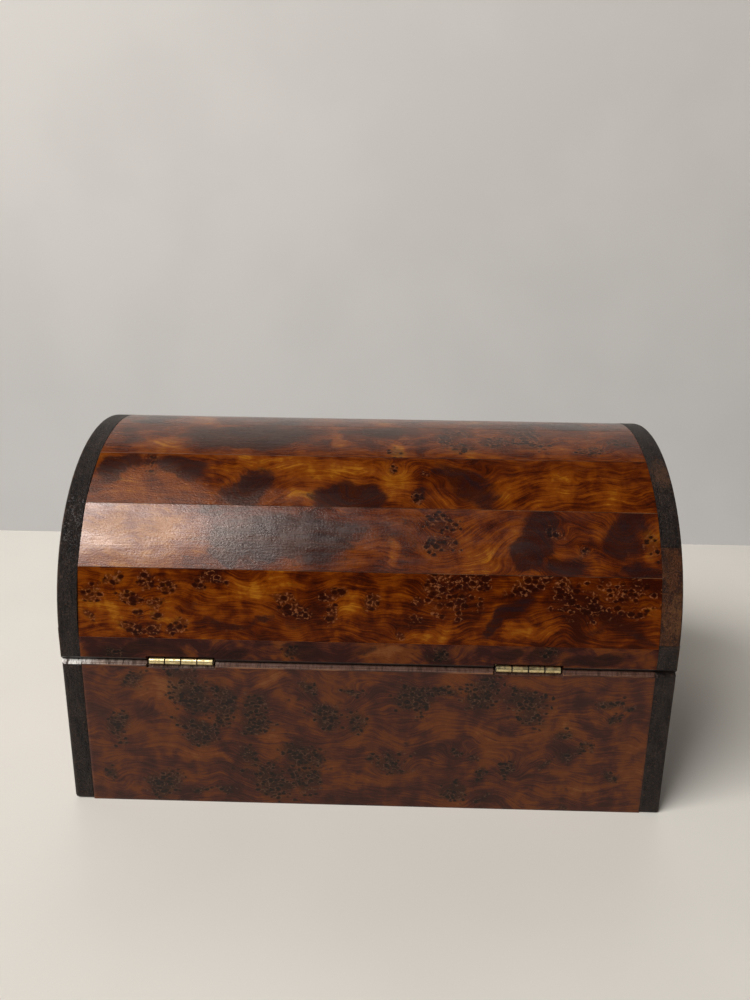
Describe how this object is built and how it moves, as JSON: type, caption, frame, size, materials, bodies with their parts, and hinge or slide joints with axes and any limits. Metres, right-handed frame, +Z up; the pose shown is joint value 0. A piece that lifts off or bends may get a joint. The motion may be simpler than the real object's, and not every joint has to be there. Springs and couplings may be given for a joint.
{
  "type": "domed jewelry box",
  "caption": "Domed wooden jewelry box: burl staves and panels with dark edge bands, a lid on two back butt hinges, a felt lining and a small front lock.",
  "frame": {"origin": "centre of the underside, on the surface the box stands on", "axes": "+Z up, +X along the box to the right when the hinged back is seen, -Y out of the hinged back, +Y out of the lock side"},
  "size_m": [0.24, 0.146, 0.1463],
  "materials": {
    "burl_lid": "glossy lacquer over burl wood",
    "burl_base": "satin lacquer over dark burl wood",
    "ebonised_edging": "worn black stain on wood",
    "bare_edging": "worn brown wood",
    "carcass_wood": "raw sawn wood",
    "felt": "burgundy felt",
    "brass": "tarnished brass",
    "brass_screws": "tarnished brass",
    "steel": "dull steel"
  },
  "bodies": {
    "base": {"bottom_board": "carcass_wood", "back_wall": "carcass_wood", "front_wall": "carcass_wood", "left_wall": "carcass_wood", "right_wall": "carcass_wood", "back_veneer": "burl_base", "front_veneer": "burl_base", "left_veneer": "burl_base", "right_veneer": "burl_base", "back_left_corner_edging": "ebonised_edging", "back_right_corner_edging": "ebonised_edging", "front_left_corner_edging": "ebonised_edging", "front_right_corner_edging": "ebonised_edging", "wall_lining": "felt", "floor_lining": "felt", "left_hinge_base_leaf": "brass", "left_hinge_pin": "steel", "left_hinge_base_screw_1": "brass_screws", "left_hinge_base_screw_2": "brass_screws", "right_hinge_base_leaf": "brass", "right_hinge_pin": "steel", "right_hinge_base_screw_1": "brass_screws", "right_hinge_base_screw_2": "brass_screws", "lock_case": "brass", "lock_screw_1": "brass_screws", "lock_screw_2": "brass_screws", "keyhole_escutcheon": "brass"},
    "lid": {"back_rail": "burl_lid", "front_rail": "burl_lid", "stave_1": "burl_lid", "stave_2": "burl_lid", "stave_3": "burl_lid", "stave_4": "burl_lid", "stave_5": "burl_lid", "stave_6": "burl_lid", "stave_7": "burl_lid", "stave_8": "burl_lid", "stave_9": "burl_lid", "left_end_panel": "burl_lid", "right_end_panel": "burl_lid", "left_band_foot": "ebonised_edging", "left_band_arch": "ebonised_edging", "right_band_foot": "ebonised_edging", "right_band_bare_lower": "bare_edging", "right_band_bare_upper": "bare_edging", "right_band_shoulder": "ebonised_edging", "right_band_arch": "ebonised_edging", "dome_lining": "felt", "left_end_lining": "felt", "right_end_lining": "felt", "left_hinge_lid_leaf": "brass", "left_hinge_lid_screw_1": "brass_screws", "left_hinge_lid_screw_2": "brass_screws", "right_hinge_lid_leaf": "brass", "right_hinge_lid_screw_1": "brass_screws", "right_hinge_lid_screw_2": "brass_screws", "link_plate": "brass", "link_plate_screw_1": "brass_screws", "link_plate_screw_2": "brass_screws"},
    "bolt": {"lock_bolt": "steel"}
  },
  "joints": [
    {"name": "lid_hinge", "type": "hinge", "parent": "base", "child": "lid", "pos_m": [0, -0.0716, 0.06315], "axis": [1, 0, 0], "range_deg": [0, 95]},
    {"name": "bolt_slide", "type": "slide", "parent": "base", "child": "bolt", "axis": [1, 0, 0], "range_m": [0, 0.0035]}
  ]
}
